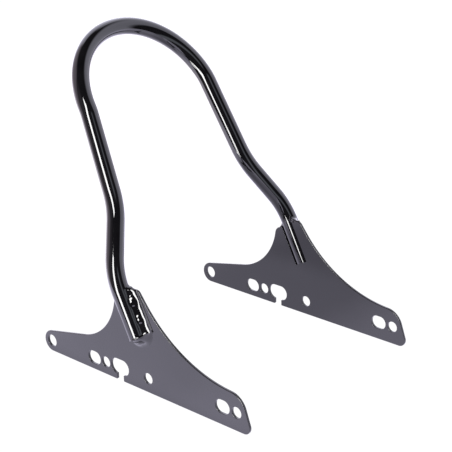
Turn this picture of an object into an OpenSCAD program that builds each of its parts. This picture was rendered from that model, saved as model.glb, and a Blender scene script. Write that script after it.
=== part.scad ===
// Sissy bar: a bent round tube hoop whose two feet stand in open slots of two
// flat side plates. Each foot is welded to the outer face of its plate.
// +X points to the long front arm of the plates, +Y to the rider's left and
// +Z up. The plates stand on their straight lower edges at Z = 0.

/* [Side plates] */
// Distance between the middle planes of the two plates
plate_gap = 252; // [220:1:290]
// Thickness of the plate
plate_t = 3; // [2.5:0.5:5]
// Radius of the rounded rear eye
eye_r = 12; // [11:0.5:13]
// Height of the neck's rear corner
neck_h = 95; // [92:0.5:98]
// Length of the neck's top edge, which is square to the legs
neck_l = 38.7; // [37:0.1:40]
// Radius of the small rear curve below the neck
rear_curve_r = 67; // [58:1:70]
// Radius of the long front curve below the neck
front_curve_r = 155; // [130:5:160]
// Radius of the front upper corner
front_corner_r = 21; // [16:1:23]
// Radius of the front lower corner
toe_r = 8; // [5:1:10]

/* [Holes] */
// Diameter of the rear eye hole
eye_hole_d = 13.5; // [10:0.5:14.5]
// Diameter of the three round bolt holes
bolt_hole_d = 12; // [9:0.5:13]
// Width of the two slotted holes
slot_hole_w = 14.5; // [12:0.5:15]
// Extra length of the two slotted holes
slot_hole_l = 4.2; // [2:0.2:4.4]
// Width of the keyhole's head
key_head_w = 26.4; // [22:0.2:26.8]
// Height of the keyhole's head
key_head_h = 17.2; // [14:0.2:18]
// Width of the keyhole's neck
key_neck_w = 9.6; // [7:0.2:10]

/* [Hoop tube] */
// Outer diameter of the tube
tube_d = 19; // [18:0.5:20]
// Wall of the tube
tube_wall = 2; // [1.5:0.25:2.5]
// Width of the slot that holds the tube's foot
foot_slot_w = 17; // [16:0.25:17.5]
// Backward lean of the legs
lean = 27; // [24:0.5:30]
// Length of the straight foot
foot_l = 50; // [49:1:56]
// Inward angle of the shoulder
shoulder_a = 27.5; // [22:0.5:30]
// Radius of the lower shoulder bend
lower_bend_r = 75; // [60:5:90]
// Radius of the upper shoulder bend
upper_bend_r = 90; // [70:5:100]
// Straight length between the two shoulder bends
shoulder_l = 36.7; // [28:0.1:42]
// Inward angle of the upper legs
taper_a = 6.2; // [3:0.2:9]
// Straight length of the upper legs
leg_l = 80.4; // [60:0.2:100]
// Further backward lean of the top loop
top_lean = 9.8; // [4:0.2:15]
// Radius of the bend between leg and top loop
nape_r = 50; // [40:5:70]

/* [Welds] */
// Radius of the weld bead's crown
bead_r = 7; // [6:0.25:7.5]

/* [Hidden] */
$fn = 96;

paint = [0.03, 0.03, 0.035];

tube_r = tube_d / 2;

// How far a straight run reaches into a bend, and how much slimmer a bend is
lap = 0.5;
slim = 0.005;

// Tube axis: it stands outboard of the plate's middle plane, where the tube
// wedges on the slot's outer edges.
foot_out = plate_t / 2 + sqrt(tube_r * tube_r - foot_slot_w * foot_slot_w / 4);
foot_y = plate_gap / 2 + foot_out;

// The foot's lower end, measured from the rear eye at the floor
foot_x = 143.9;
foot_z = 61.5;

// Leg directions: a1 in the legs' plane, a2 in the top loop's plane
ay = [0, 1, 0];
a1 = [-sin(lean), 0, cos(lean)];
a2 = [-sin(lean + top_lean), 0, cos(lean + top_lean)];
function dir1(g) = cos(g) * a1 - sin(g) * ay;
function nrm1(g) = -sin(g) * a1 - cos(g) * ay;
function nrm2(g) = -sin(g) * a2 - cos(g) * ay;

// Corner points of the left leg's centre line, from the foot to the top loop
p0 = [foot_x, foot_y, foot_z];
p1 = p0 + foot_l * a1;
p2 = p1 + lower_bend_r * (nrm1(0) - nrm1(shoulder_a));
p3 = p2 + shoulder_l * dir1(shoulder_a);
p4 = p3 + upper_bend_r * (nrm1(taper_a) - nrm1(shoulder_a));
p5 = p4 + leg_l * dir1(taper_a);
d5 = dir1(taper_a);
d6 = cos(taper_a) * a2 - sin(taper_a) * ay;
nape_a = acos(d5 * d6);
n5 = (d6 - (d5 * d6) * d5) / sin(nape_a);
p6 = p5 + nape_r * (1 - cos(nape_a)) * n5 + nape_r * sin(nape_a) * d5;
loop_r = p6[1] / cos(taper_a);
loop_c = p6 + loop_r * nrm2(taper_a);

// Plate outline: corners from the rear eye, counter-clockwise, with the
// radius that rounds each corner. A negative radius marks an inner curve.
fin_a = 12.49;
rear_x = -eye_r / tan(fin_a / 2);
neck_x = 105.6 + (neck_h - 95) * tan(9);
outline = [
    [rear_x, 0, eye_r],
    [292.2, 0, toe_r],
    [278.6, 39.5, front_corner_r],
    [193.3, 43.9, -front_curve_r],
    [neck_x + neck_l * cos(lean), neck_h + neck_l * sin(lean), 6.5],
    [neck_x, neck_h, 8],
    [98, 46, -rear_curve_r]
];
nv = len(outline);
function vtx(i) = [outline[(i + nv) % nv][0], outline[(i + nv) % nv][1]];
function rad(i) = abs(outline[i][2]);
function unit(v) = v / norm(v);
function half(i) = acos(unit(vtx(i - 1) - vtx(i)) * unit(vtx(i + 1) - vtx(i))) / 2;
function tan_in(i) = vtx(i) + unit(vtx(i - 1) - vtx(i)) * rad(i) / tan(half(i));
function tan_out(i) = vtx(i) + unit(vtx(i + 1) - vtx(i)) * rad(i) / tan(half(i));
function ctr(i) = vtx(i) + unit(unit(vtx(i - 1) - vtx(i)) + unit(vtx(i + 1) - vtx(i))) * rad(i) / sin(half(i));

function over(i) = 0.2 * sign(outline[i][2]);
function cut_in(i) = tan_in(i) + unit(vtx(i) - vtx(i - 1)) * over(i);
function cut_out(i) = tan_out(i) - unit(vtx(i + 1) - vtx(i)) * over(i);

// The frame's origin is the middle of the whole part on the floor
x_front = ctr(1)[0] + toe_r;
x_rear = loop_c[0] - loop_r * sin(lean + top_lean) - tube_r;
x_mid = (x_front + x_rear) / 2;

// Height of the neck's top edge along the foot, from the foot's lower end
neck_v = (neck_h - foot_z) * cos(lean) - (neck_x - foot_x) * sin(lean);

// Weld bead: its crown's centre across the foot and out of the plate, and the
// ends of its two side runs along the foot
bead_u = foot_slot_w / 2 - 1;
bead_o = -1.5;
bead_low = -1.7;
bead_top = neck_v - 3.5;

// The bulge of weld metal over the tube's lower end: its rim is just inside
// the tube's outside
bulge_h = 4.5;
bulge_r = (pow(tube_r - 0.2, 2) + bulge_h * bulge_h) / (2 * bulge_h);

// Hole centres, from the rear eye at the floor
eye_pos = [0, 12.5];
bolt_pos = [[87, 14.5], [150.5, 16], [272, 20]];
slot_pos = [[69, 14], [253.5, 20]];
key_pos = [108.4, 15.6];

// Places its children with +Z along d and +X along n at the point p
module at(p, d, n) {
    b = cross(d, n);
    multmatrix([
        [n[0], b[0], d[0], p[0]],
        [n[1], b[1], d[1], p[1]],
        [n[2], b[2], d[2], p[2]],
        [0, 0, 0, 1]
    ]) children();
}

// A curved run that starts along +Z and turns towards +X
module turn(r, big_r, a) {
    translate([big_r, 0, 0]) rotate([90, 0, 0])
        rotate_extrude(angle = a, start = 180 - a) translate([big_r, 0]) circle(r);
}

// A straight run along +Z. Its two ends reach a little into the bends, which
// are drawn a hair slimmer, and taper below their surface, so the runs join
// smoothly. An end with no bend is plain and longer by extra.
module straight(r, l, extra = 0, foot = false) {
    rotate_extrude() polygon([
        if (foot) each [[0, -extra], [r, -extra]]
        else each [[0, -lap], [r - 2 * slim, -lap], [r, -0.1 * lap]],
        [r, l + 0.1 * lap], [r - 2 * slim, l + lap], [0, l + lap]
    ]);
}

// One leg as a solid bar of radius r, its lower end longer by extra
module leg(r, extra) {
    at(p0, a1, nrm1(0)) straight(r, foot_l, extra, true);
    at(p1, a1, nrm1(0)) turn(r - slim, lower_bend_r, shoulder_a);
    at(p2, dir1(shoulder_a), nrm1(shoulder_a)) straight(r, shoulder_l);
    at(p3, dir1(shoulder_a), -nrm1(shoulder_a)) turn(r - slim, upper_bend_r, shoulder_a - taper_a);
    at(p4, d5, nrm1(taper_a)) straight(r, leg_l);
    at(p5, d5, n5) turn(r - slim, nape_r, nape_a);
}

// The whole hoop as a solid bar of radius r
module bar(r, extra) {
    leg(r, extra);
    mirror([0, 1, 0]) leg(r, extra);
    at(loop_c, cross(ay, a2), ay)
        rotate_extrude(angle = 180 - 2 * taper_a, start = taper_a)
            translate([loop_r, 0]) circle(r - slim);
    for (m = [0, 1]) mirror([0, m, 0]) at(p6, d6, nrm2(taper_a)) rotate_extrude()
        polygon([
            [0, -lap], [r - 2 * slim, -lap], [r, -0.1 * lap],
            [r, 0.1 * lap], [r - 2 * slim, lap], [0, lap]
        ]);
}

module hoop_tube() {
    color(paint) translate([-x_mid, 0, 0]) difference() {
        bar(tube_r, 0);
        bar(tube_r - tube_wall, 1);
    }
}

// The plate's outline with every corner a true arc. The straight sides meet
// each arc at a hair's width, so the corners join cleanly.
module plate_outline() {
    difference() {
        union() {
            polygon([for (i = [0:nv - 1]) each [cut_in(i), cut_out(i)]]);
            for (i = [0:nv - 1]) if (outline[i][2] > 0) sector(i);
        }
        for (i = [0:nv - 1]) if (outline[i][2] < 0) sector(i);
    }
}

module sector(i) {
    intersection() {
        translate(ctr(i)) circle(rad(i) - 0.01);
        polygon([cut_in(i), vtx(i), cut_out(i), ctr(i)]);
    }
}

// A hole with round ends, w wide and l longer than it is wide
module obround(w, l) {
    for (s = [-1, 1]) translate([s * l / 2, 0]) circle(d = w);
    square([l, w], center = true);
}

// The keyhole: a wide head over a neck that is open at the lower edge
module keyhole() {
    lip = 1.5;
    translate(key_pos) obround(key_head_h, key_head_w - key_head_h);
    translate([key_pos[0] - key_neck_w / 2, -1]) square([key_neck_w, key_pos[1] + 1]);
    for (s = [-1, 1]) difference() {
        translate([key_pos[0] + s * (key_neck_w / 2 + lip / 2 - 0.25), lip / 2 - 0.5])
            square([lip + 0.5, lip + 1], center = true);
        translate([key_pos[0] + s * (key_neck_w / 2 + lip), lip]) circle(lip);
    }
}

// Cuts of one plate, drawn in the plate's own plane
module plate_cuts() {
    translate(eye_pos) circle(d = eye_hole_d);
    for (p = bolt_pos) translate(p) circle(d = bolt_hole_d);
    for (p = slot_pos) translate(p) obround(slot_hole_w, slot_hole_l);
    keyhole();
    translate([foot_x, foot_z]) rotate(lean) translate([-foot_slot_w / 2, 0])
        square([foot_slot_w, 70]);
}

module side_plate() {
    translate([-x_mid, plate_gap / 2 + plate_t / 2, 0]) rotate([90, 0, 0])
        linear_extrude(plate_t) difference() {
            plate_outline();
            plate_cuts();
        }
}

module left_side_plate() {
    color(paint) side_plate();
}

module right_side_plate() {
    color(paint) mirror([0, 1, 0]) side_plate();
}

module left_weld() {
    color(paint) weld();
}

module right_weld() {
    color(paint) mirror([0, 1, 0]) weld();
}

// The bead: up one side of the foot, round its lower end and up the other
// side. It lies on the plate's outer face and against the tube, closes the
// tube's lower end, and its two upper ends wrap over the neck's top edge.
module weld() {
    big = 60;
    translate([-x_mid, 0, 0])
    translate([foot_x, plate_gap / 2 + plate_t / 2, foot_z]) rotate([0, -lean, 0]) difference() {
        union() {
            for (s = [-1, 1]) {
                translate([s * bead_u, bead_o, bead_low]) cylinder(h = bead_top - bead_low, r = bead_r);
                translate([s * bead_u, bead_o, bead_top]) sphere(bead_r + 0.01);
                translate([s * bead_u, bead_o, bead_low]) sphere(bead_r + 0.01);
            }
            translate([-bead_u, bead_o, bead_low - 1]) rotate([0, 90, 0])
                cylinder(h = 2 * bead_u, r = bead_r - 1);
            // the bulge that closes the tube's lower end
            intersection() {
                translate([0, foot_out - plate_t / 2, bulge_r - bulge_h]) sphere(bulge_r);
                translate([-big, -big, -big]) cube([2 * big, 2 * big, big]);
            }
        }
        // the foot of the tube
        translate([0, foot_out - plate_t / 2, 0]) cylinder(h = big * 2, r = tube_r);
        // the plate, and all that is on its inner side
        translate([-big, -big, -big]) cube([2 * big, big, big + neck_v]);
        translate([-big, -big - plate_t, -big]) cube([2 * big, big, 3 * big]);
    }
}

hoop_tube();
left_side_plate();
right_side_plate();
left_weld();
right_weld();
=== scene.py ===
import math

import bpy
import numpy as np
from mathutils import Matrix, Vector
from mathutils.geometry import tessellate_polygon


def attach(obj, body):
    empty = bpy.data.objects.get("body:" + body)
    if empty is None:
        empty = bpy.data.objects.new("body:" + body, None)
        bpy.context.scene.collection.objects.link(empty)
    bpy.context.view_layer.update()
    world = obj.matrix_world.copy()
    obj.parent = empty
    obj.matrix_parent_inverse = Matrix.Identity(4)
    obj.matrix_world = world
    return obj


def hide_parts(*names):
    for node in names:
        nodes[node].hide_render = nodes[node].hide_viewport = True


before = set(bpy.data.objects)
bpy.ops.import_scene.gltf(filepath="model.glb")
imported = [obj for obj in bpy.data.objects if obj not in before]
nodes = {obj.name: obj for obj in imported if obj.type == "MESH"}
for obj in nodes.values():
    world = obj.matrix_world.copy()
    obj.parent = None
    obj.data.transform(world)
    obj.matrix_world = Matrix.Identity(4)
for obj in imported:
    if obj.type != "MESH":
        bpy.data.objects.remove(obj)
scene = bpy.context.scene


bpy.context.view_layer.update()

# ---------------------------------------------------------------- node graphs


class Graph:
    """A short way to write node trees."""

    def __init__(self, tree):
        self.tree = tree
        tree.nodes.clear()

    def put(self, socket, value):
        if isinstance(value, bpy.types.NodeSocket):
            self.tree.links.new(value, socket)
        else:
            socket.default_value = value

    def node(self, kind, inputs=None, **props):
        n = self.tree.nodes.new(kind)
        for k, v in props.items():
            setattr(n, k, v)
        for k, v in (inputs or {}).items():
            self.put(n.inputs[k], v)
        return n

    def math(self, op, *values, clamp=False):
        n = self.node("ShaderNodeMath", operation=op, use_clamp=clamp)
        for i, v in enumerate(values):
            self.put(n.inputs[i], v)
        return n.outputs[0]

    def step(self, value, low, high, out_low=0.0, out_high=1.0):
        """Smooth step of value from low to high."""
        n = self.node("ShaderNodeMapRange", interpolation_type="SMOOTHSTEP")
        for k, v in (("Value", value), ("From Min", low), ("From Max", high), ("To Min", out_low), ("To Max", out_high)):
            self.put(n.inputs[k], v)
        return n.outputs[0]

    def scaled(self, colour, value):
        """A colour times a number, as a vector."""
        n = self.node("ShaderNodeVectorMath", operation="SCALE")
        self.put(n.inputs[0], colour)
        self.put(n.inputs["Scale"], value)
        return n.outputs[0]

    def total(self, vectors):
        out = vectors[0]
        for v in vectors[1:]:
            n = self.node("ShaderNodeVectorMath", operation="ADD")
            self.put(n.inputs[0], out)
            self.put(n.inputs[1], v)
            out = n.outputs[0]
        return out


# ------------------------------------------------------------- studio lighting

# Soft patches of light round the object, as (azimuth, half width, edge,
# lowest, highest, edge, radiance, colour). Azimuth 0 is +Y and 90 is +X,
# heights are above the horizon, all in degrees.
COOL = (1.0, 0.99, 1.17)
WARM = (1.0, 0.88, 1.02)
PATCHES = [
    # pale backdrop behind the object
    (-45, 38, 12, -90, 59, 12, 2.1, COOL),
    (25.5, 32.5, 12, -90, 49.5, 19, 1.95, COOL),
    # its brightest part
    (-40, 12, 24, 14, 46, 20, 0.9, COOL),
    # dimmer wall on the left
    (-112, 30, 14, -14, 52, 22, 1.25, WARM),
    (-106, 16, 14, -14, 4, 8, 0.9, WARM),
    (-160, 16, 16, -12, 46, 24, 0.25, WARM),
    # a narrow card on the right
    (104.5, 8.5, 9, -38, 38, 8, 1.35, (0.93, 0.99, 1.12)),
    # the rest of the room
    (0, 181, 1, -90, 90, 1, 0.055, (1.0, 0.95, 1.0)),
]


def studio_world():
    world = bpy.data.worlds.new("studio")
    scene.world = world
    world.use_nodes = True
    g = Graph(world.node_tree)
    xyz = g.node("ShaderNodeSeparateXYZ", {0: g.node("ShaderNodeTexCoord").outputs["Generated"]})
    x, y, z = xyz.outputs
    height = g.math("DEGREES", g.math("ARCSINE", z))
    parts = []
    for az, half, soft, low, high, fade, level, colour in PATCHES:
        c, s = math.cos(math.radians(az)), math.sin(math.radians(az))
        across = g.math("SUBTRACT", g.math("MULTIPLY", x, c), g.math("MULTIPLY", y, s))
        along = g.math("ADD", g.math("MULTIPLY", x, s), g.math("MULTIPLY", y, c))
        turn = g.math("ABSOLUTE", g.math("DEGREES", g.math("ARCTAN2", across, along)))
        w = g.step(turn, half - soft / 2, half + soft / 2, level, 0.0)
        if low > -90:
            w = g.math("MULTIPLY", w, g.step(height, low - fade / 2, low + fade / 2))
        if high < 90:
            w = g.math("MULTIPLY", w, g.step(height, high - fade / 2, high + fade / 2, 1.0, 0.0))
        parts.append(g.scaled(colour, w))
    lit = g.node("ShaderNodeBackground", {"Color": g.total(parts)})
    seen = g.node("ShaderNodeBackground", {"Color": (1, 1, 1, 1), "Strength": 1.0})
    camera_ray = g.node("ShaderNodeLightPath").outputs["Is Camera Ray"]
    mix = g.node("ShaderNodeMixShader", {0: camera_ray, 1: lit.outputs[0], 2: seen.outputs[0]})
    g.node("ShaderNodeOutputWorld", {"Surface": mix.outputs[0]})


def studio_floor():
    """A plain white table that ends a little way off on the camera's side. In
    reflections it glows with painted light, brightest in front of the near plate,
    with painted shade making it dimmer between the plates."""
    mesh = bpy.data.meshes.new("floor")
    x0, x1, y0, y1 = -5.0, 0.42, -0.50, 5.0
    mesh.from_pydata([(x0, y0, 0), (x1, y0, 0), (x1, y1, 0), (x0, y1, 0)], [], [(0, 1, 2, 3)])
    floor = bpy.data.objects.new("floor", mesh)
    scene.collection.objects.link(floor)
    floor.location.z = -0.0004
    mat = bpy.data.materials.new("floor_white")
    mat.use_nodes = True
    g = Graph(mat.node_tree)
    xyz = g.node("ShaderNodeSeparateXYZ", {0: g.node("ShaderNodeTexCoord").outputs["Object"]})
    x, y, _ = xyz.outputs
    # glow levels seen only in reflections: a painted pool of light in front of the near plate, painted shade
    # between the plates
    front = g.step(y, -0.42, -0.24, 0.35, 0.0)
    near = g.step(y, -0.145, -0.09, 2.2, 1.15)
    between = g.step(y, -0.02, 0.04, 0.0, 0.37)
    far = g.step(y, 0.12, 0.45, 0.0, 0.6)
    side = g.math("MULTIPLY", g.step(x, 0.01, 0.12), g.step(y, -0.12, 0.02, 0.35, 0.75))
    behind = g.step(x, -0.27, -0.13, 0.9, 0.0)
    level = front
    for part in (near, between, far, side, behind):
        level = g.math("ADD", level, part)
    left = g.step(x, -0.50, -0.20)
    tint = g.node("ShaderNodeCombineXYZ", {0: 1.0, 1: g.math("ADD", g.math("MULTIPLY", left, 0.015), 0.95), 2: g.math("ADD", g.math("MULTIPLY", left, 0.13), 1.07)})
    lit = g.node("ShaderNodeEmission", {"Color": tint.outputs[0], "Strength": level})
    seen = g.node("ShaderNodeEmission", {"Color": (1, 1, 1, 1), "Strength": 1.05})
    camera_ray = g.node("ShaderNodeLightPath").outputs["Is Camera Ray"]
    mix = g.node("ShaderNodeMixShader", {0: camera_ray, 1: lit.outputs[0], 2: seen.outputs[0]})
    g.node("ShaderNodeOutputMaterial", {"Surface": mix.outputs[0]})
    mesh.materials.append(mat)
    return floor


def strip_light():
    """One tall strip softbox, which draws the white line down the tube."""
    az, dist, low, high, wide, tilt = math.radians(167.5), 2.6, -0.85, 3.255, 0.72, math.radians(12)
    light = bpy.data.lights.new("strip", "AREA")
    light.shape = "RECTANGLE"
    light.size = wide
    light.size_y = (high - low) / math.cos(tilt)
    light.energy = 27 * math.pi * light.size * light.size_y
    obj = bpy.data.objects.new("strip", light)
    scene.collection.objects.link(obj)
    back = Vector((math.sin(az), math.cos(az), 0))
    up = Vector((0, 0, 1))
    right = up.cross(back)
    lean_up = up * math.cos(tilt) + right * math.sin(tilt)
    lean_right = right * math.cos(tilt) - up * math.sin(tilt)
    place = back * dist + up * (low + high) / 2
    obj.matrix_world = Matrix.Translation(place) @ Matrix((lean_right, lean_up, back)).transposed().to_4x4()
    obj.visible_camera = False


def photo_camera():
    cam = bpy.data.cameras.new("camera")
    cam.sensor_width = 36.0
    cam.sensor_fit = "HORIZONTAL"
    cam.lens = 103.76227
    cam.clip_start = 0.01
    cam.clip_end = 50
    obj = bpy.data.objects.new("camera", cam)
    scene.collection.objects.link(obj)
    obj.matrix_world = Matrix((
        (0.73466165, -0.22349639, 0.64056352, 0.8889259),
        (0.67806165, 0.27315087, -0.68236427, -0.9357033),
        (-0.02246453, 0.93564842, 0.35221780, 0.6264951),
        (0, 0, 0, 1),
    ))
    scene.camera = obj


# ------------------------------------------------------------------ materials


def gloss_black(name, grain, peel, rough_low, rough_high, edge=None):
    """Gloss black paint: a nearly black body under a hard clear surface. Its
    roughness drifts a little, and a fine orange peel is in the bump. edge is
    the roughness over a plate's cut edges, where the striae of the cut show."""
    mat = bpy.data.materials.new(name)
    mat.use_nodes = True
    g = Graph(mat.node_tree)
    place = g.node("ShaderNodeTexCoord").outputs["Object"]
    cloud = g.node("ShaderNodeTexNoise", {"Vector": place, "Scale": grain, "Detail": 3.0, "Roughness": 0.55})
    fine = g.node("ShaderNodeTexNoise", {"Vector": place, "Scale": 620.0, "Detail": 2.0, "Roughness": 0.5})
    broad = g.node("ShaderNodeTexNoise", {"Vector": place, "Scale": 95.0, "Detail": 1.0, "Roughness": 0.4})
    colour = g.node("ShaderNodeValToRGB", {"Fac": cloud.outputs[0]})
    colour.color_ramp.elements[0].position = 0.3
    colour.color_ramp.elements[0].color = (0.0014, 0.0013, 0.0017, 1)
    colour.color_ramp.elements[1].position = 0.75
    colour.color_ramp.elements[1].color = (0.0030, 0.0028, 0.0034, 1)
    rough = g.node("ShaderNodeMapRange", {"Value": cloud.outputs[0], "From Min": 0.3, "From Max": 0.7, "To Min": rough_low, "To Max": rough_high})
    soft = g.node("ShaderNodeBump", {"Strength": peel * 0.8, "Distance": 0.0003, "Height": broad.outputs[0]})
    bump = g.node("ShaderNodeBump", {"Strength": peel, "Distance": 0.00004, "Height": fine.outputs[0], "Normal": soft.outputs[0]})
    roughness, normal = rough.outputs[0], bump.outputs[0]
    if edge:
        xyz = g.node("ShaderNodeSeparateXYZ", {0: place})
        depth = g.math("ABSOLUTE", g.math("SUBTRACT", g.math("ABSOLUTE", xyz.outputs[1]), 0.126))
        cut = g.step(depth, 0.0006, 0.0009, 1.0, 0.0)
        broken = g.step(depth, 0.001455, 0.00149, 1.0, 0.0)
        for rougher, where in ((0.28, broken), (edge, cut)):
            roughness = g.math("ADD", g.math("MULTIPLY", g.math("SUBTRACT", rougher, roughness), where), roughness)
        run = g.node("ShaderNodeVectorMath", {0: place, 1: (1.0, 0.02, 1.0)}, operation="MULTIPLY")
        striae = g.node("ShaderNodeTexNoise", {"Vector": run.outputs[0], "Scale": 1500.0, "Detail": 1.0})
        normal = g.node("ShaderNodeBump", {"Strength": g.math("MULTIPLY", cut, 0.25), "Distance": 0.00006, "Height": striae.outputs[0], "Normal": normal}).outputs[0]
    skin = g.node("ShaderNodeBsdfPrincipled", {
        "Base Color": colour.outputs[0], "Roughness": roughness, "Normal": normal,
        "IOR": 1.5, "Metallic": 0.0,
    })
    g.node("ShaderNodeOutputMaterial", {"Surface": skin.outputs[0]})
    return mat


tube_paint = gloss_black("gloss_black_tube", 38.0, 0.045, 0.03, 0.05)
plate_paint = gloss_black("gloss_black_plate", 26.0, 0.08, 0.035, 0.06, 0.26)
weld_paint = gloss_black("gloss_black_weld", 60.0, 0.10, 0.04, 0.07)


def paint(obj, mat):
    obj.data.materials.clear()
    obj.data.materials.append(mat)


def finished(name, verts, faces, normals, mat):
    """A mesh object in millimetres turned to metres, with its own normals."""
    mesh = bpy.data.meshes.new(name)
    mesh.from_pydata((np.asarray(verts) / 1000).tolist(), [], faces)
    mesh.update()
    mesh.polygons.foreach_set("use_smooth", [True] * len(mesh.polygons))
    if normals is not None:
        mesh.normals_split_custom_set_from_vertices([tuple(n) for n in normals])
    obj = bpy.data.objects.new(name, mesh)
    scene.collection.objects.link(obj)
    mesh.materials.append(mat)
    return obj


# ------------------------------------------------------------------ the tube

# Millimetres, x from the rear eye: the same run of straights and bends that
# the CAD hoop has
X_MID = 134.0905
TUBE_R, WALL = 9.5, 2.0
LEAN, SHOULDER, TAPER, TOP_LEAN = (math.radians(a) for a in (27, 27.5, 6.2, 9.8))
LOWER_R, UPPER_R, NAPE_R = 75.0, 90.0, 50.0
FOOT_L, SHOULDER_L, LEG_L = 50.0, 36.7, 80.4
TUBE_O = math.sqrt(TUBE_R ** 2 - 8.5 ** 2)
FOOT = np.array([143.9, 127.5 + TUBE_O, 61.5])


def hoop_line():
    """Points and directions of the centre line, foot to foot."""
    ay = np.array([0.0, 1.0, 0.0])
    a1 = np.array([-math.sin(LEAN), 0.0, math.cos(LEAN)])
    a2 = np.array([-math.sin(LEAN + TOP_LEAN), 0.0, math.cos(LEAN + TOP_LEAN)])

    def along(g, a=a1):
        return math.cos(g) * a - math.sin(g) * ay

    def inward(g, a=a1):
        return -math.sin(g) * a - math.cos(g) * ay

    pts, dirs = [], []

    def straight(p, d, length, gap):
        n = max(2, int(length / gap) + 1)
        for t in np.linspace(0, length, n)[:-1]:
            pts.append(p + t * d)
            dirs.append(d)
        return p + length * d

    def bend(p, d, n, r, a):
        k = max(2, int(math.degrees(a) / 1.2) + 1)
        for t in np.linspace(0, a, k)[:-1]:
            pts.append(p + r * (1 - math.cos(t)) * n + r * math.sin(t) * d)
            dirs.append(math.cos(t) * d + math.sin(t) * n)
        return p + r * (1 - math.cos(a)) * n + r * math.sin(a) * d

    p = straight(FOOT, a1, FOOT_L, 3.0)
    p = bend(p, a1, inward(0), LOWER_R, SHOULDER)
    p = straight(p, along(SHOULDER), SHOULDER_L, 3.0)
    p = bend(p, along(SHOULDER), -inward(SHOULDER), UPPER_R, SHOULDER - TAPER)
    d5 = along(TAPER)
    p = straight(p, d5, LEG_L, 3.0)
    d6 = along(TAPER, a2)
    nape = math.acos(float(d5 @ d6))
    p = bend(p, d5, (d6 - (d5 @ d6) * d5) / math.sin(nape), NAPE_R, nape)
    loop_r = p[1] / math.cos(TAPER)
    centre = p + loop_r * inward(TAPER, a2)
    for t in np.linspace(TAPER, math.pi / 2, 80):
        pts.append(centre - loop_r * inward(t, a2))
        dirs.append(along(t, a2))
    half = len(pts) - 1
    flip = np.array([1.0, -1.0, 1.0])
    pts = pts + [q * flip for q in pts[:half][::-1]]
    dirs = dirs + [-q * flip for q in dirs[:half][::-1]]
    return np.array(pts), np.array(dirs)


def make_hoop():
    """One bent tube with its true wall, open at its two cut ends."""
    pts, dirs = hoop_line()
    pts = pts - np.array([X_MID, 0, 0])
    around = 72
    side = np.cross(dirs[0], [0, 1.0, 0])
    rings, normals = [], []
    turn = np.linspace(0, 2 * math.pi, around, endpoint=False)
    for p, d in zip(pts, dirs):
        side = side - (side @ d) * d
        side = side / np.linalg.norm(side)
        other = np.cross(d, side)
        n = np.cos(turn)[:, None] * side + np.sin(turn)[:, None] * other
        rings.append(p)
        normals.append(n)
    normals = np.array(normals)
    count = len(pts)
    edge = 0.35
    verts, norms, faces = [], [], []

    def ring(i, r, shift, n):
        base = len(verts)
        for c in range(around):
            verts.append(rings[i] + normals[i][c] * r + dirs[i] * shift)
            norms.append(n[c])
        return base

    loops = []
    down, up = -dirs[0], dirs[-1]
    # foot end, outer skin, far end, bore
    loops.append(ring(0, TUBE_R - edge, 0, np.tile(down, (around, 1))))
    loops.append(ring(0, TUBE_R - 0.3 * edge, 0.3 * edge, (normals[0] + down) / math.sqrt(2)))
    loops.append(ring(0, TUBE_R, edge, normals[0]))
    for i in range(1, count - 1):
        loops.append(ring(i, TUBE_R, 0, normals[i]))
    loops.append(ring(count - 1, TUBE_R, -edge, normals[-1]))
    loops.append(ring(count - 1, TUBE_R - 0.3 * edge, -0.3 * edge, (normals[-1] + up) / math.sqrt(2)))
    loops.append(ring(count - 1, TUBE_R - edge, 0, np.tile(up, (around, 1))))
    loops.append(ring(count - 1, TUBE_R - WALL, 0, np.tile(up, (around, 1))))
    loops.append(ring(count - 1, TUBE_R - WALL, -0.01, -normals[-1]))
    for i in range(count - 2, 0, -1):
        loops.append(ring(i, TUBE_R - WALL, 0, -normals[i]))
    loops.append(ring(0, TUBE_R - WALL, 0.01, -normals[0]))
    loops.append(ring(0, TUBE_R - WALL, 0, np.tile(down, (around, 1))))
    for a, b in zip(loops, loops[1:] + loops[:1]):
        for c in range(around):
            e = (c + 1) % around
            faces.append((a + c, a + e, b + e, b + c))
    return finished("hoop_tube_smooth", verts, faces, norms, tube_paint)


# ---------------------------------------------------------------- the plates

PLATE_MID, PLATE_T, BREAK = 126.0, 3.0, 0.9
NECK_V = 47.2366
FIN = math.radians(12.49)
OUTLINE = [
    (-12 / math.tan(FIN / 2), 0, 12), (292.2, 0, 8), (278.6, 39.5, 21), (193.3, 43.9, -155),
    (105.6 + 38.7 * math.cos(LEAN), 95 + 38.7 * math.sin(LEAN), 6.5), (105.6, 95, 8), (98, 46, -66.5),
]
EYE, BOLTS, SLOTS, KEY = (0, 12.5), [(87, 14.5), (150.5, 16), (272, 20)], [(69, 14), (253.5, 20)], (108.4, 15.6)


def arc(centre, r, start, end):
    """Points on an arc, angles in degrees, a fine step on small radii."""
    n = max(2, int(abs(end - start) / min(5.0, max(0.8, 60 / abs(r)))) + 1)
    return [(centre[0] + r * math.cos(math.radians(t)), centre[1] + r * math.sin(math.radians(t))) for t in np.linspace(start, end, n)]


def rounded(corner, before, after, r):
    """The corner of a path as an arc of radius r."""
    c, a, b = (np.array(q[:2], float) for q in (corner, before, after))
    ua, ub = (a - c) / np.linalg.norm(a - c), (b - c) / np.linalg.norm(b - c)
    half = math.acos(max(-1, min(1, float(ua @ ub)))) / 2
    mid = (ua + ub) / np.linalg.norm(ua + ub)
    centre = c + mid * r / math.sin(half)
    t0, t1 = c + ua * r / math.tan(half), c + ub * r / math.tan(half)
    s = math.degrees(math.atan2(*(t0 - centre)[::-1]))
    e = math.degrees(math.atan2(*(t1 - centre)[::-1]))
    while e - s > 180:
        e -= 360
    while e - s < -180:
        e += 360
    return arc(centre, r, s, e)


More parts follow.
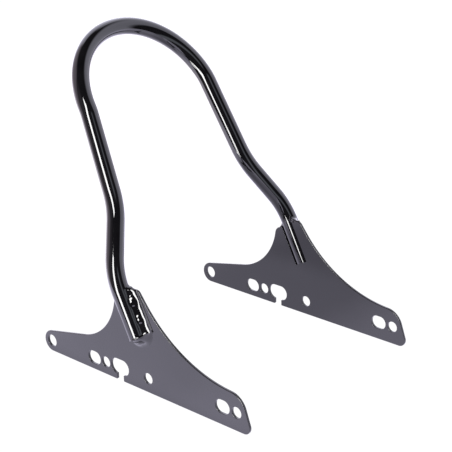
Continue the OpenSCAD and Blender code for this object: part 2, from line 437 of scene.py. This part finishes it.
def plate_loops():
    """The plate's outer edge, with its foot slot and keyhole, then its holes."""
    n = len(OUTLINE)

    def corner(i):
        return rounded(OUTLINE[i], OUTLINE[i - 1], OUTLINE[(i + 1) % n], abs(OUTLINE[i][2]))

    kx, kz = KEY
    key = arc((kx - 6.3, 1.5), 1.5, -90, 0) + arc((kx - 5.5, 6.34), 0.7, 0, 90)
    key += arc((kx - 4.6, kz), 8.6, -97, -270) + arc((kx + 4.6, kz), 8.6, 90, -83)
    key += arc((kx + 5.5, 6.34), 0.7, 90, 180) + arc((kx + 6.3, 1.5), 1.5, 180, 270)
    u = np.array([math.cos(LEAN), math.sin(LEAN)])
    v = np.array([-math.sin(LEAN), math.cos(LEAN)])
    foot = np.array([FOOT[0], FOOT[2]])
    slot = [foot + 8.5 * u + NECK_V * v, foot + 8.5 * u, foot - 8.5 * u, foot - 8.5 * u + NECK_V * v]
    cut = rounded(slot[0], OUTLINE[4], slot[1], 0.75) + rounded(slot[1], slot[0], slot[2], 0.5)
    cut += rounded(slot[2], slot[1], slot[3], 0.5) + rounded(slot[3], slot[2], OUTLINE[5], 0.75)
    outer = corner(0) + key + corner(1) + corner(2) + corner(3) + corner(4) + cut + corner(5) + corner(6)
    loops = [outer, arc(EYE, 6.75, 0, 360)[:-1]]
    loops += [arc(p, 6.0, 0, 360)[:-1] for p in BOLTS]
    for x, z in SLOTS:
        loops.append(arc((x + 2.1, z), 7.25, -90, 90) + arc((x - 2.1, z), 7.25, 90, 270))
    out = []
    for loop in loops:
        keep = [np.array(loop[0], float)]
        for q in loop[1:]:
            if np.linalg.norm(np.array(q) - keep[-1]) > 0.02:
                keep.append(np.array(q, float))
        if np.linalg.norm(keep[0] - keep[-1]) < 0.02:
            keep.pop()
        keep = np.array(keep)
        area = np.sum(keep[:, 0] * np.roll(keep[:, 1], -1) - np.roll(keep[:, 0], -1) * keep[:, 1])
        # the outer loop runs counter-clockwise and the holes clockwise
        if (area > 0) != (len(out) == 0):
            keep = keep[::-1]
        out.append(keep)
    return out


def make_plate(name, side):
    """A flat cut plate whose edges are broken all round, less on its holes and
    keyhole than on its outline. side is its Y sign."""
    loops = plate_loops()
    verts, norms, faces, ids = [], [], [], [[], []]
    profile = []
    for t in (0, 18, 36, 54, 72, 90):
        c, s = math.cos(math.radians(t)), math.sin(math.radians(t))
        profile.append((BREAK * (1 - s), PLATE_T / 2 - BREAK * (1 - c), s, c))
    profile += [(d, -y, a, -b) for d, y, a, b in profile[::-1]]
    flat = [[], []]
    for number, loop in enumerate(loops):
        ahead, back = np.roll(loop, -1, 0) - loop, loop - np.roll(loop, 1, 0)
        ahead /= np.linalg.norm(ahead, axis=1)[:, None]
        back /= np.linalg.norm(back, axis=1)[:, None]
        n1 = np.stack([ahead[:, 1], -ahead[:, 0]], -1)
        n2 = np.stack([back[:, 1], -back[:, 0]], -1)
        out = n1 + n2
        out /= np.linalg.norm(out, axis=1)[:, None]
        # the edges of the foot slot stay sharper
        rel = loop - np.array([FOOT[0], FOOT[2]])
        across, up = rel @ [math.cos(LEAN), math.sin(LEAN)], rel @ [-math.sin(LEAN), math.cos(LEAN)]
        keen = np.where((np.abs(across) < 9.4) & (up > -0.1) & (up < NECK_V + 0.1), 0.17, 1.0)
        key = (np.abs(loop[:, 0] - KEY[0]) < 14) & (loop[:, 1] > 0.2) & (loop[:, 1] < 25)
        keen = np.where(key | (number > 0), 0.6, keen)
        mitre = np.minimum(1 / np.maximum((out * n1).sum(1), 0.3), 1.6)
        bases = []
        for d, y, sn, cn in profile:
            bases.append(len(verts))
            for q, o, m, k in zip(loop, out, mitre, keen):
                p = q - o * d * k * m
                depth = math.copysign(PLATE_T / 2 - (PLATE_T / 2 - abs(y)) * k, y)
                verts.append((p[0] - X_MID, side * (PLATE_MID + depth), p[1]))
                norms.append((o[0] * sn, side * cn, o[1] * sn))
        k = len(loop)
        for a, b in zip(bases, bases[1:]):
            for c in range(k):
                e = (c + 1) % k
                quad = (a + c, b + c, b + e, a + e)
                faces.append(quad[::-1] if side > 0 else quad)
        for w, base in ((0, bases[0]), (1, bases[-1])):
            flat[w].append([Vector((verts[base + c][0], verts[base + c][2], 0)) for c in range(k)])
            ids[w] += list(range(base, base + k))
    for w in (0, 1):
        up = side > 0 if w == 0 else side < 0
        for tri in tessellate_polygon(flat[w]):
            a, b, c = (ids[w][i] for i in tri)
            pa, pb, pc = (np.array(verts[i]) for i in (a, b, c))
            ny = np.cross(pb - pa, pc - pa)[1]
            faces.append((a, b, c) if (ny > 0) == up else (c, b, a))
    return finished(name, verts, faces, norms, plate_paint)


# --------------------------------------------------------------- weld metal

# The foot of the tube and its plate in millimetres: u lies across the foot in
# the plate's plane, v runs up along the foot from its lower end, and o points
# out from the plate's outer face.
PLATE_OUT = 127.5
TOE = 15.4
RISE = math.radians(42.6)


def smin(a, b, k):
    h = np.clip(0.5 + 0.5 * (b - a) / k, 0, 1)
    return b * (1 - h) + a * h - k * h * (1 - h)


def smax(a, b, k):
    return -smin(-a, -b, k)


def lump_list(seed):
    """Uneven heaps of weld metal: centre u, v, o, then height and radius."""
    rng = np.random.default_rng(seed)
    out = []
    for s in (-1, 1):
        v = 3.0
        while v < 47:
            out.append((s * (11.6 + rng.uniform(-1.2, 1.2)), v, 3.2 + rng.uniform(-0.8, 0.8), rng.uniform(0.05, 0.22), rng.uniform(2.0, 3.0)))
            v += rng.uniform(3.4, 6.0)
    for u in (-8.5, -3.5, 2.0, 7.5):
        out.append((u + rng.uniform(-1, 1), -5.6 + rng.uniform(-0.5, 0.5), 2.8, rng.uniform(0.15, 0.35), 2.6))
    return out


def weld_field(p, lumps, phase, crests):
    """Below 0 inside the weld metal, which hugs the tube and the plate in a
    hidden skin just below their surfaces."""
    u, v, o = p[:, 0], p[:, 1], p[:, 2]
    au = np.abs(u)
    rho = 3.0 + np.hypot(np.maximum(au - 3.0, 0), np.maximum(3.6 - v, 0))
    toe = TOE + 0.22 * np.sin(v / 3.6 + phase) + 0.10 * np.sin(v / 1.7 + 2 * phase)
    face = (rho - toe) * math.sin(RISE) + o * math.cos(RISE)
    crest = (au - 15.2) * math.sin(0.70) + (v - np.where(u < 0, *crests)) * math.cos(0.70)
    bead = smax(face, crest, 2.2)
    dome_r = (9.3 ** 2 + 4.5 ** 2) / 9.0
    dome = np.maximum(np.sqrt(u * u + (v - dome_r + 4.5) ** 2 + (o - TUBE_O) ** 2) - dome_r, v - 0.3)
    bead = smin(bead, dome, 3.6)
    for cu, cv, co, h, r in lumps:
        bead = bead - h * np.exp(-((u - cu) ** 2 + (v - cv) ** 2 + (o - co) ** 2) / (2 * r * r))
    # ripples of the pool, bowed along the run
    bead = bead - 0.035 * np.cos(2 * np.pi * (v + 0.05 * (rho - 12) ** 2) / 3.1 + phase) * np.clip((14.6 - rho) / 3, 0, 1) * np.clip((v + 1) / 4, 0, 1)
    # the foot is straight at first, then bends inward
    run = o - TUBE_O
    run = np.where(v > FOOT_L, np.hypot(v - FOOT_L, run + LOWER_R) - LOWER_R, run)
    tube = np.maximum(np.hypot(u, run) - TUBE_R, -v)
    plate = smax(o, v - NECK_V, 0.6)
    near = bead - 2.4
    body = smin(bead, tube + 0.08, 1.5)
    body = smin(body, plate + 0.08, 2.8)
    body = np.maximum(body, near)
    # nothing in the bore, and nothing in or behind the plate below its neck
    body = np.maximum(body, -(tube + 1.1))
    # the skin ends inside the tube wall
    body = np.maximum(body, v - 56.2)
    over = -2.5 - 0.3 * np.cos(2 * np.pi * u / 5.2 + 1.3 * phase) * np.cos(2 * np.pi * (v - NECK_V) / 7.5) - o
    return np.where(v > NECK_V - 0.3, smax(body, over, 1.3), np.maximum(body, -0.5 - o))


def surface_net(field, low, high, step):
    """A closed mesh of the surface where field is 0, as smooth quads."""
    axes = [np.arange(a, b + step, step) for a, b in zip(low, high)]
    grid = np.stack(np.meshgrid(*axes, indexing="ij"), -1)
    shape = grid.shape[:3]
    f = field(grid.reshape(-1, 3)).reshape(shape)
    cell = tuple(n - 1 for n in shape)
    total = np.zeros(cell + (3,))
    count = np.zeros(cell)

    def part(a, i, j, k):
        return a[i:i + cell[0], j:j + cell[1], k:k + cell[2]]

    corner = [(i, j, k) for i in (0, 1) for j in (0, 1) for k in (0, 1)]
    for a in corner:
        for b in corner:
            if sum(y - x for x, y in zip(a, b)) != 1 or sum(abs(y - x) for x, y in zip(a, b)) != 1:
                continue
            fa, fb = part(f, *a), part(f, *b)
            cross = (fa < 0) != (fb < 0)
            t = np.where(cross, fa / np.where(cross, fa - fb, 1), 0)
            q = part(grid, *a) + t[..., None] * (part(grid, *b) - part(grid, *a))
            total += np.where(cross[..., None], q, 0)
            count += cross
    live = count > 0
    index = -np.ones(cell, int)
    index[live] = np.arange(live.sum())
    points = total[live] / count[live][:, None]
    inside = f < 0
    quads = []
    for axis in range(3):
        b, c = (axis + 1) % 3, (axis + 2) % 3
        first = np.take(inside, range(shape[axis] - 1), axis)
        second = np.take(inside, range(1, shape[axis]), axis)
        for here in np.argwhere(first != second):
            if not (0 < here[b] < shape[b] - 1 and 0 < here[c] < shape[c] - 1):
                continue
            ring = []
            for db, dc in ((-1, -1), (0, -1), (0, 0), (-1, 0)):
                q = here.copy()
                q[b] += db
                q[c] += dc
                ring.append(index[tuple(q)])
            quads.append(ring if first[tuple(here)] else ring[::-1])
    # draw each point onto the surface
    for _ in range(4):
        value = field(points)
        grad = np.stack([
            (field(points + d) - field(points - d)) / 0.02
            for d in np.eye(3) * 0.01
        ], -1)
        move = -value[:, None] * grad / np.maximum((grad ** 2).sum(1), 0.2)[:, None]
        size = np.linalg.norm(move, axis=1)[:, None]
        points = points + move * np.minimum(1, 0.25 * step / np.maximum(size, 1e-9))
    return points, quads


def make_weld(name, side, seed, extra, crests):
    lumps = lump_list(seed) + extra
    phase = seed * 0.7
    points, quads = surface_net(
        lambda p: weld_field(p, lumps, phase, crests), (-20, -14.6, -3.6), (20, 57, 14.6), 0.42,
    )
    cu, su = math.cos(LEAN), math.sin(LEAN)
    world = np.empty_like(points)
    world[:, 0] = FOOT[0] - X_MID + points[:, 0] * cu - points[:, 1] * su
    world[:, 1] = side * (PLATE_OUT + points[:, 2])
    world[:, 2] = FOOT[2] + points[:, 0] * su + points[:, 1] * cu
    if side > 0:
        quads = [q[::-1] for q in quads]
    return finished(name, world, quads, None, weld_paint)


photo_camera()
studio_world()
studio_floor()
strip_light()

for n in ("hoop_tube", "left_side_plate", "right_side_plate", "left_weld", "right_weld"):
    paint(nodes[n], tube_paint if n == "hoop_tube" else plate_paint if n.endswith("plate") else weld_paint)

hoop = make_hoop()
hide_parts("hoop_tube")
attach(hoop, "root")
for name, side, node in (("left_plate_cut", 1, "left_side_plate"), ("right_plate_cut", -1, "right_side_plate")):
    piece = make_plate(name, side)
    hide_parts(node)
    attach(piece, "root")

# heaps that catch the strip light on the near foot, then the wrapped ends
NEAR = [
    (11.0, 35.5, 4.2, 1.3, 3.2), (11.6, 20.5, 4.0, 0.42, 1.3), (11.6, 16.0, 4.0, 0.65, 1.8),
    (-11.0, 30.0, 4.0, 0.5, 2.2), (10.8, 49.0, -1.2, 0.5, 2.2),
]
FAR = [
    (10.6, 31.0, 4.6, 0.7, 2.2), (10.8, 12.0, 4.4, 0.6, 1.6), (-10.8, 24.0, 4.2, 0.6, 2.0),
    (7.6, 51.8, -1.4, 0.8, 1.7), (10.2, 50.2, -1.6, 0.8, 1.6), (12.8, 48.9, -1.2, 0.7, 1.6),
]
# and how far up the neck each bead ends, rear side then front side
for name, side, seed, extra, crests, node in (
    ("right_weld_bead", -1, 3, NEAR, (NECK_V, NECK_V), "right_weld"),
    ("left_weld_bead", 1, 8, FAR, (NECK_V - 3.4, NECK_V), "left_weld"),
):
    piece = make_weld(name, side, seed, extra, crests)
    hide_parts(node)
    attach(piece, "root")

scene.view_settings.view_transform = "Standard"
scene.view_settings.look = "None"
